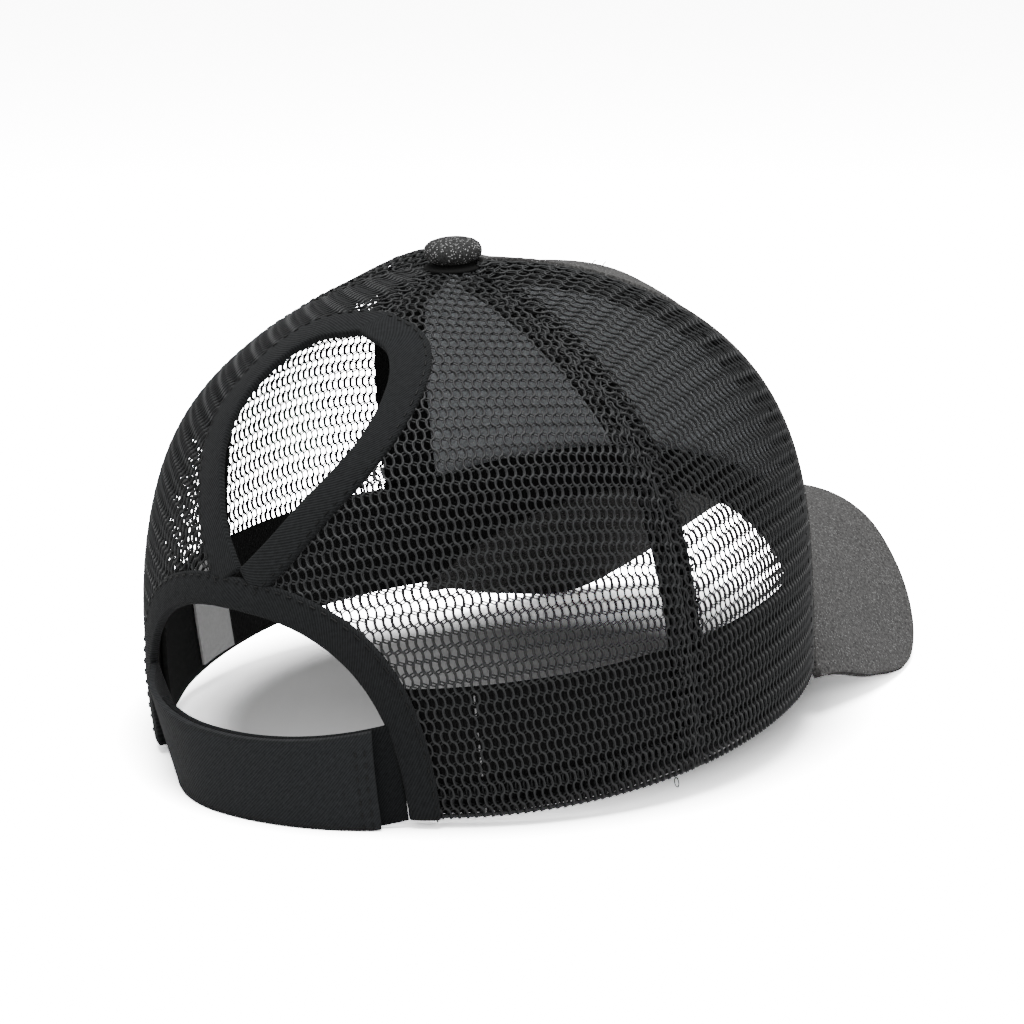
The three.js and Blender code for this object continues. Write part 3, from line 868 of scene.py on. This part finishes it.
# Ribbed weave: fine ribs across the tape, or slanted as in twill, under a little lint.
rib_contrast = 0.45
rib_floor = -0.15
rib_shine = 0.1
weave_roughness = 0.95
lint_scale = 900
lint_height = 0.5
ribs, ribs_in, ribs_out = finish_group("ribbed_weave", ["Rib Scale", "Slant"], ["Dark", "Light"])
rib_axes = ribs.nodes.new("ShaderNodeSeparateXYZ")
ribs.links.new(ribs_in["Vector"], rib_axes.inputs[0])
slanted = math_node(ribs, "MULTIPLY", rib_axes.outputs[1], ribs_in["Slant"])
rib_place = math_node(ribs, "ADD", rib_axes.outputs[0], slanted)
rib_phase = math_node(ribs, "MULTIPLY", rib_place, ribs_in["Rib Scale"])
rib_wave = math_node(ribs, "MULTIPLY_ADD", math_node(ribs, "SINE", rib_phase), 0.5, 0.5)
lint = ribs.nodes.new("ShaderNodeTexNoise")
lint.inputs["Scale"].default_value = lint_scale
lint.inputs["Detail"].default_value = 4
ribs.links.new(ribs_in["Vector"], lint.inputs["Vector"])
rib_tone = math_node(ribs, "MULTIPLY_ADD", rib_wave, rib_contrast, rib_floor)
rib_blend = math_node(ribs, "ADD", rib_tone, lint.outputs[0], clamp=True)
ribs.links.new(mix_node(ribs, rib_blend, ribs_in["Dark"], ribs_in["Light"]), ribs_out["Color"])
rib_rough = math_node(ribs, "MULTIPLY_ADD", rib_wave, -rib_shine, weave_roughness)
ribs.links.new(rib_rough, ribs_out["Roughness"])
rib_height = math_node(ribs, "MULTIPLY_ADD", lint.outputs[0], lint_height, rib_wave)
ribs.links.new(rib_height, ribs_out["Height"])

black_tape = finish_material("black_tape", ribs, {
    "Rib Scale": 9000, "Slant": 0.0, "Dark": grey(0.004), "Light": grey(0.015),
}, bump_height=0.1, specular=0.12, coordinates="UV")


def stitch_mesh(name, points, radius=stitch_yarn):
    """A row of stitches along a close line of points: each dips into the cloth at both ends."""
    strands, strand, along = [], [], 0.0
    for here, after in zip(points, points[1:]):
        along += (after - here).length / millimetre
        if along < stitch_length:
            strand.append((here, 1.0))
        elif strand:
            strands.append(strand)
            strand = []
        if along > stitch_length + stitch_gap:
            along = 0.0
    return yarn_mesh(name, [strand for strand in strands if len(strand) > 1], radius, rings=1)


def tape_place(turn, from_up):
    """A tape down one seam. The front ones are wider on the net's side, with the net folded in there."""
    to_up = crown_length - top_hole_radius
    narrowest = math.radians(min(back_seam_turn - front_seam_turn, 180 - back_seam_turn))
    extra = math.copysign(front_tape_extra, turn) if abs(turn) == front_seam_turn else 0

    def place(x, y, depth=tape_depth):
        rise = rise_at_up(from_up + y * (to_up - from_up))
        radius = wall_radius(turn, rise)
        half = min(tape_width / 2, radius * narrowest / 2 - seam_gap)
        left = -half + min(extra, 0) * half / (tape_width / 2)
        right = half + max(extra, 0) * half / (tape_width / 2)
        across = left + x * (right - left)
        return set_down(crown_point(turn + math.degrees(across / radius), rise, depth))

    return place


teardrop_top = teardrop_bottom + teardrop_height + teardrop_binding_width
seam_tapes = {
    "seam_tape_front_left": (front_seam_turn, seam_gap, ["front_panel", "side_mesh_left"]),
    "seam_tape_front_right": (-front_seam_turn, seam_gap, ["front_panel", "side_mesh_right"]),
    "seam_tape_back_left": (back_seam_turn, seam_gap, ["side_mesh_left", "back_mesh_left"]),
    "seam_tape_back_right": (-back_seam_turn, seam_gap, ["side_mesh_right", "back_mesh_right"]),
    "seam_tape_centre_back": (180, teardrop_top + seam_gap, ["back_mesh_left", "back_mesh_right"]),
}
for node, (turn, from_up, sewn_to) in seam_tapes.items():
    place = tape_place(turn, from_up)
    length = (crown_length - top_hole_radius - from_up) * millimetre
    width = tape_width + (front_tape_extra if abs(turn) == front_seam_turn else 0)
    size = (width * millimetre, length)
    tape = cloth_sheet(node.replace("tape", "strip"), *tape_grid, place, size, tape_wall, tape_edge)
    tape.data.materials.append(black_tape)
    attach(tape, "root")
    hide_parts(node)
    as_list(sewn_to)
    steps = round(length / millimetre / tape_line_step)
    rows = [[place(x, step / steps, stitch_depth) for step in range(steps + 1)] for x in tape_line_sides]
    stitches = joined_piece(
        node.replace("tape", "stitches"), [stitch_mesh(node + "_row", row) for row in rows], sewing_thread
    )
    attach(stitches, "root")

# Bindings
# Bias-cut black twill, folded over the cut edge of the net round both openings and sewn down along
# its outer edge. The arch's binding covers the crossed ends of the teardrop's.

binding_proud = 0.7
binding_wall = 2.3
arch_steps = 120
teardrop_steps = 64
binding_rows = 10
binding_edge = 0.75
binding_arc = 0.25
pucker_depth = 0.15
pucker_waves = (60, 3)
arch_pucker = 3.1
teardrop_pucker = 8.7
binding_line_step = 0.5
binding_line_side = 0.13
binding_line_proud = 0.25

black_twill = finish_material("black_twill", ribs, {
    "Rib Scale": 6500, "Slant": 1.0, "Dark": grey(0.004, -0.06), "Light": grey(0.019, -0.06),
}, bump_height=0.12, specular=0.12, coordinates="UV", sheen=0.02)


def back_point(across, up, depth):
    rise = rise_at_up(max(up, 0))
    turn = 180 + math.degrees(across / wall_radius(180, rise))
    point = crown_point(turn, rise, depth)
    point.z += min(up, 0)
    return point


def looked_along(outline, share):
    place = min(share, 1 - just_short) * (len(outline) - 1)
    step = int(place)
    (ax, ay), (bx, by) = outline[step], outline[step + 1]
    return ax + (place - step) * (bx - ax), ay + (place - step) * (by - ay)


def band_place(inner_outline, outer_outline, pucker):
    """Lays a folded band between the opening's edge and its outer edge, slightly puckered."""

    def place(x, y, depth=None):
        inner_x, inner_y = looked_along(inner_outline, x)
        outer_x, outer_y = looked_along(outer_outline, x)
        across = outer_x + y * (inner_x - outer_x)
        up = outer_y + y * (inner_y - outer_y)
        if depth is None:
            arc = binding_arc * math.sin(math.pi * min(max(y, 0), 1))
            ripple = noise.noise(Vector((x * pucker_waves[0], y * pucker_waves[1], pucker)))
            depth = -binding_proud - arc - pucker_depth * ripple
        return set_down(back_point(across, up, depth))

    return place


arch_place = band_place(
    arch_outline(0, arch_steps), arch_outline(arch_binding_width, arch_steps), arch_pucker
)
arch_length = 0.165
arch_band = cloth_sheet(
    "arch_band", arch_steps, binding_rows, arch_place,
    (arch_length, arch_binding_width * millimetre), binding_wall, binding_edge,
)
arch_band.data.materials.append(black_twill)
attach(arch_band, "root")
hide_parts("arch_binding")


def teardrop_loop(margin):
    side = teardrop_side(margin, teardrop_steps)
    return side + [(-across, up) for across, up in side[-2::-1]]


teardrop_place = band_place(teardrop_loop(0), teardrop_loop(teardrop_binding_width), teardrop_pucker)
teardrop_length = 0.185
teardrop_band = cloth_sheet(
    "teardrop_band", 2 * teardrop_steps, binding_rows, teardrop_place,
    (teardrop_length, teardrop_binding_width * millimetre), binding_wall, binding_edge,
)
teardrop_band.data.materials.append(black_twill)
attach(teardrop_band, "root")
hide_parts("teardrop_binding")

for name, place, length in (
    ("arch_stitches", arch_place, arch_length), ("teardrop_stitches", teardrop_place, teardrop_length),
):
    steps = round(length / millimetre / binding_line_step)
    line = [
        place(step / steps, binding_line_side, -binding_proud - binding_line_proud)
        for step in range(steps + 1)
    ]
    stitches = joined_piece(name, [stitch_mesh(name + "_row", line)], sewing_thread)
    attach(stitches, "root")

# Strap
# Two lengths of doubled black twill close the arch, the outer one from the wearer's left over the
# under one from the right. Their edges are turned in and sewn, and they bow out behind the rim.

strap_width = 25.0
strap_wall = 1.6
strap_drop = 1.8
strap_sag = 3.5
strap_bow = 8.0
strap_tuck = 6.5
strap_sewn = 3.0
strap_leave = 16.0
strap_edge = 0.2
outer_strap_reach = 42.0
under_strap_reach = 25.0
strap_grid = (72, 20)
strap_edge_round = 0.5
strap_line_shares = (0.955, 0.98)
strap_line_steps = 40
rest_slope = math.tan(math.radians(rest_tilt))

# The under strap is the same twill as the outer strap, painted darker as shade.
shaded_under_twill = finish_material("shaded_under_twill", ribs, {
    "Rib Scale": 6500, "Slant": -1.0, "Dark": grey(0.002, -0.06), "Light": grey(0.013, -0.06),
}, bump_height=0.12, specular=0.1, coordinates="UV")
strap_twill = finish_material("strap_twill", ribs, {
    "Rib Scale": 6500, "Slant": -1.0, "Dark": grey(0.006, -0.06), "Light": grey(0.028, -0.06),
}, bump_height=0.12, specular=0.12, coordinates="UV", sheen=0.03)


def strap_reach(height):
    share = max(height, 0) / arch_height
    return arch_half_width * (1 - share ** arch_squareness) ** (1 / arch_squareness) + strap_sewn


def eased(share):
    return share * share * (3 - 2 * share)


def strap_place(from_across, to_across, outward):
    """A strap whose end is sewn in behind the binding, bowed out over the opening."""

    def place(x, y, proud=0.0):
        reach = strap_reach(y * strap_width)
        start = max(from_across, -reach)
        across = start + x * (min(to_across, reach) - start)
        bow = max(1 - (across / arch_half_width) ** 2, 0)
        lowest = min(strap_sag * bow, strap_drop + strap_bow * (1 - bow) * rest_slope)
        height = y * (strap_width - strap_sag * bow) - (1 - y) * lowest
        rise = rise_at_up(max(height, 0))
        turn = 180 + math.degrees(across / wall_radius(180, rise))
        clear = outward * eased(min(max(reach + across, 0) / strap_leave, 1))
        tuck = strap_tuck * (1 - y) * eased(min(max(-across, 0) / arch_half_width, 1))
        out = strap_bow * bow * (math.sqrt(bow) if across < 0 else 1)
        point = crown_point(turn, rise, tuck - clear - proud - out)
        point.z += min(height, 0)
        placed = set_down(point)
        placed.z = max(placed.z, strap_edge * millimetre)
        return placed

    return place


outer_strap_place = strap_place(-arch_half_width, outer_strap_reach, seam_gap + strap_wall)
under_strap_place = strap_place(-under_strap_reach, arch_half_width, 0.0)
for name, node, place, length, finish in (
    ("outer_strap", "strap_left", outer_strap_place, 0.104, strap_twill),
    ("under_strap", "strap_right", under_strap_place, 0.082, shaded_under_twill),
):
    size = (length, strap_width * millimetre)
    strap = cloth_sheet(name, *strap_grid, place, size, strap_wall, strap_edge_round)
    strap.data.materials.append(finish)
    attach(strap, "root")
    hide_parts(node)

strap_end_rows = [
    [
        outer_strap_place(share, step / strap_line_steps, stitch_depth)
        for step in range(1, strap_line_steps)
    ]
    for share in strap_line_shares
]
strap_stitches = joined_piece(
    "strap_stitches", [stitch_mesh("strap_row", row) for row in strap_end_rows], sewing_thread
)
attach(strap_stitches, "root")

# Sweatband
# A soft black cotton band sewn round the inside of the rim, with its lower edge under the folded net
# and its ends at the sides of the arch.

sweatband_height = 33.0
sweatband_front_rise = 10.0
sweatband_wall = 1.5
sweatband_depth = tape_depth + tape_wall + seam_gap
sweatband_grid = (240, 12)
sweatband_edge = 0.5
sweatband_wave = 0.25
sweatband_wave_turn = 9
sweatband_wave_share = 1.5
sweatband_wave_seed = 4

band_cotton = finish_material("band_cotton", ribs, {
    "Rib Scale": 7500, "Slant": 0.0, "Dark": grey(0.006), "Light": grey(0.018),
}, bump_height=0.1, specular=0.12, coordinates="UV")


def sweatband_place(x, y, depth=sweatband_depth):
    turn = (2 * x - 1) * (180 - arch_foot_turn)
    top = sweatband_height + sweatband_front_rise * front_share(turn)
    height = rim_height(turn) + y * (top - rim_height(turn))
    spot = Vector((turn / sweatband_wave_turn, y * sweatband_wave_share, sweatband_wave_seed))
    return set_down(crown_point(
        turn, rise_at_height(turn, height), depth + sweatband_wave * noise.noise(spot)
    ))


sweatband_length = 0.48
sweatband = cloth_sheet(
    "sweatband_cloth", *sweatband_grid, sweatband_place,
    (sweatband_length, sweatband_height * millimetre), sweatband_wall, sweatband_edge,
)
sweatband.data.materials.append(band_cotton)
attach(sweatband, "root")
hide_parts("sweatband")

# Sweatband join
# One short upright row of pale stitches closes the join in the sweatband. It is ordinary sewing
# thread, and it shows through the net near the arch, on the wearer's right.

join_turn = -141.5
join_lift = 0.6
join_steps = 70
join_from = 0.02
join_span = 0.96
join_yarn = 0.24
join_finish = finish_material("pale_thread", yarn, {
    "Twist Scale": 2600, "Dark": grey(0.45), "Light": grey(0.7),
}, bump_height=0.05)
join_share = 0.5 + join_turn / (180 - arch_foot_turn) / 2
join_line = [
    sweatband_place(join_share, join_from + join_span * step / join_steps, sweatband_depth - join_lift)
    for step in range(join_steps + 1)
]
join_stitches = joined_piece("join_stitches", [stitch_mesh("join_row", join_line, join_yarn)], join_finish)
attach(join_stitches, "root")

# Care label
# A narrow folded tab of pale satin tape, caught in the sweatband's seam on the wearer's left and
# left bare.

label_width = 19.0
label_height = 30.0
label_wall = 1.0
label_turn = 112.0
label_grid = (14, 24)
label_edge = 0.2
label_curl = 0.15
label_size = (label_width * millimetre, label_height * millimetre)

pale_tape = finish_material("pale_tape", ribs, {
    "Rib Scale": 9000, "Slant": 0.0, "Dark": grey(0.46), "Light": grey(0.6),
}, bump_height=0.05, specular=0.3, coordinates="UV")


def label_place(x, y):
    turn = label_turn + math.degrees((x - 0.5) * label_width / rim_radius(label_turn))
    rise = rise_at_height(turn, seam_gap + y * label_height)
    curl = label_curl * math.sin(math.pi * y) * math.sin(3 * math.pi * x)
    return set_down(crown_point(turn, rise, sweatband_depth + sweatband_wall + seam_gap + curl))


care_tab = cloth_sheet("care_tab", *label_grid, label_place, label_size, label_wall, label_edge)
care_tab.data.materials.append(pale_tape)
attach(care_tab, "root")
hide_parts("care_label")

# Loose thread ends
# Two trimmed ends of black thread stand out of the front near its top, and one small loop of yarn
# hangs from the rim. Each was left by the sewing.

loose_yarn = 0.16
loose_steps = 12
loose_ends = [
    {"turn": -7, "rise": 61.5, "length": 1.6},
    {"turn": -11, "rise": 61, "length": 2.0},
]
end_root = 0.3
end_sweep = 1.2
loop_turn = 250.5
loop_root = 0.2
loop_half_width = 0.9
loop_half_drop = 1.3


def loose_end(share, turn, rise, length):
    return crown_point(turn - end_sweep * share * share, rise, end_root - length * share)


def hanging_loop(share):
    swing = math.tau * share
    point = crown_point(loop_turn, 0, loop_root + loop_half_width * math.sin(swing))
    point.z -= loop_half_drop * (1 - math.cos(swing))
    return point


loose_shares = [step / loose_steps for step in range(loose_steps + 1)]
loose_strands = [
    [(set_down(loose_end(share, **end)), 1.0) for share in loose_shares] for end in loose_ends
]
loose_strands.append([(set_down(hanging_loop(share)), 1.0) for share in loose_shares])
loose_threads = joined_piece(
    "loose_threads", [yarn_mesh("loose_threads", loose_strands, loose_yarn, rings=1)], black_yarn
)
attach(loose_threads, "root")

# Top button
# A domed metal button covered with the glitter cloth, pressed through the crown where its panels
# meet. The cloth's edge is gathered underneath, over a small black disc.

button_profile = [
    (0, 0), (5.6, 0), (5.8, 0.7), (7.2, 0.9), (7.8, 1.5), (8.05, 2.4), (8.0, 3.4), (7.5, 4.5), (6.4, 5.4),
    (4.6, 6.0), (2.3, 6.3), (0, 6.35),
]
button_rounds = 48
weld_distance = 1e-4
gather_profile = [(0, -1.4), (6.8, -2.0), (8.3, -1.8), (8.1, -1.1), (6.6, -0.5), (0, 0.1)]

button_glitter = finish_material("button_glitter", glitter, {
    "Yarn Scale": 1900, "Fleck Scale": 2100, "Fleck Share": 0.3,
    "Dark": grey(0.004), "Light": grey(0.05), "Glinting Fleck": grey(0.38),
}, bump_height=0.2)

button_seat = Vector((0, crown_top_setback, crown_surface(0, 90).z + seam_gap))


def turned_piece(name, profile, finish):
    """A round piece on the crown's top, turned from (out, up) corners."""
    turned = bmesh.new()
    corners = [turned.verts.new((out, 0, up)) for out, up in profile]
    edges = [turned.edges.new(pair) for pair in zip(corners, corners[1:])]
    bmesh.ops.spin(
        turned, geom=corners + edges, cent=(0, 0, 0), axis=(0, 0, 1), dvec=(0, 0, 0),
        angle=math.tau, steps=button_rounds, use_merge=True, use_duplicate=False,
    )
    bmesh.ops.remove_doubles(turned, verts=turned.verts, dist=weld_distance)
    bmesh.ops.recalc_face_normals(turned, faces=turned.faces)
    for face in turned.faces:
        face.smooth = True
    for vert in turned.verts:
        vert.co = set_down(vert.co + button_seat)
    mesh = bpy.data.meshes.new(name)
    turned.to_mesh(mesh)
    turned.free()
    made = linked_object(name, mesh)
    made.data.materials.append(finish)
    return made


gathers = turned_piece("button_gathers", gather_profile, black_tape)
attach(gathers, "root")
button = turned_piece("button_cover", button_profile, button_glitter)
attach(button, "root")
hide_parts("top_button")
